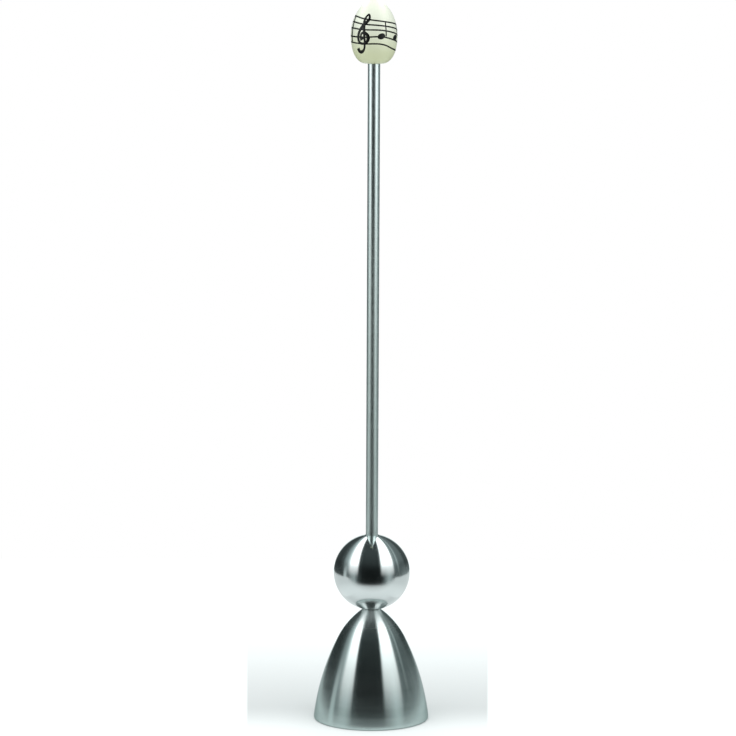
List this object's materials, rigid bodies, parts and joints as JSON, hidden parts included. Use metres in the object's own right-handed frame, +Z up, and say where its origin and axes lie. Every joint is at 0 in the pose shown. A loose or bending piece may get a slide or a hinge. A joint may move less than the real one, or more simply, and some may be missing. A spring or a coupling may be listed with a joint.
{
  "type": "egg topper",
  "caption": "Drop-ball egg topper: a steel ball slides down a rod and strikes a thin steel bell, whose rim scores the shell of a boiled egg; an egg-shaped knob tops the rod.",
  "frame": {"origin": "centre of the bell's mouth, on the plane that the bell stands on", "axes": "+Z up along the rod, from the bell to the knob; the object is turned about Z, so X and Y are free apart from the print on the knob, whose clef faces -Y"},
  "size_m": [0.04, 0.04, 0.2493],
  "materials": {
    "bell_steel": "spun stainless steel, satin, brushed round the axis",
    "ball_steel": "fine turned stainless steel, nearly polished",
    "rod_steel": "ground stainless bar, fine grain along the rod",
    "knob_lacquer": "turned wood under ivory gloss lacquer, printed in black",
    "insert_brass": "plain turned brass",
    "fixing_steel": "bright zinc-plated or stainless M3 fixings"
  },
  "bodies": {
    "stand": {"bell": "bell_steel", "rod": "rod_steel", "egg_knob": "knob_lacquer", "knob_insert": "insert_brass", "crown_washer": "fixing_steel", "lock_washer": "fixing_steel", "crown_nut": "fixing_steel"},
    "ball": {"drop_ball": "ball_steel"}
  },
  "joints": [
    {"name": "ball_slide", "type": "slide", "parent": "stand", "child": "ball", "axis": [0, 0, 1], "range_m": [0, 0.16266]}
  ]
}
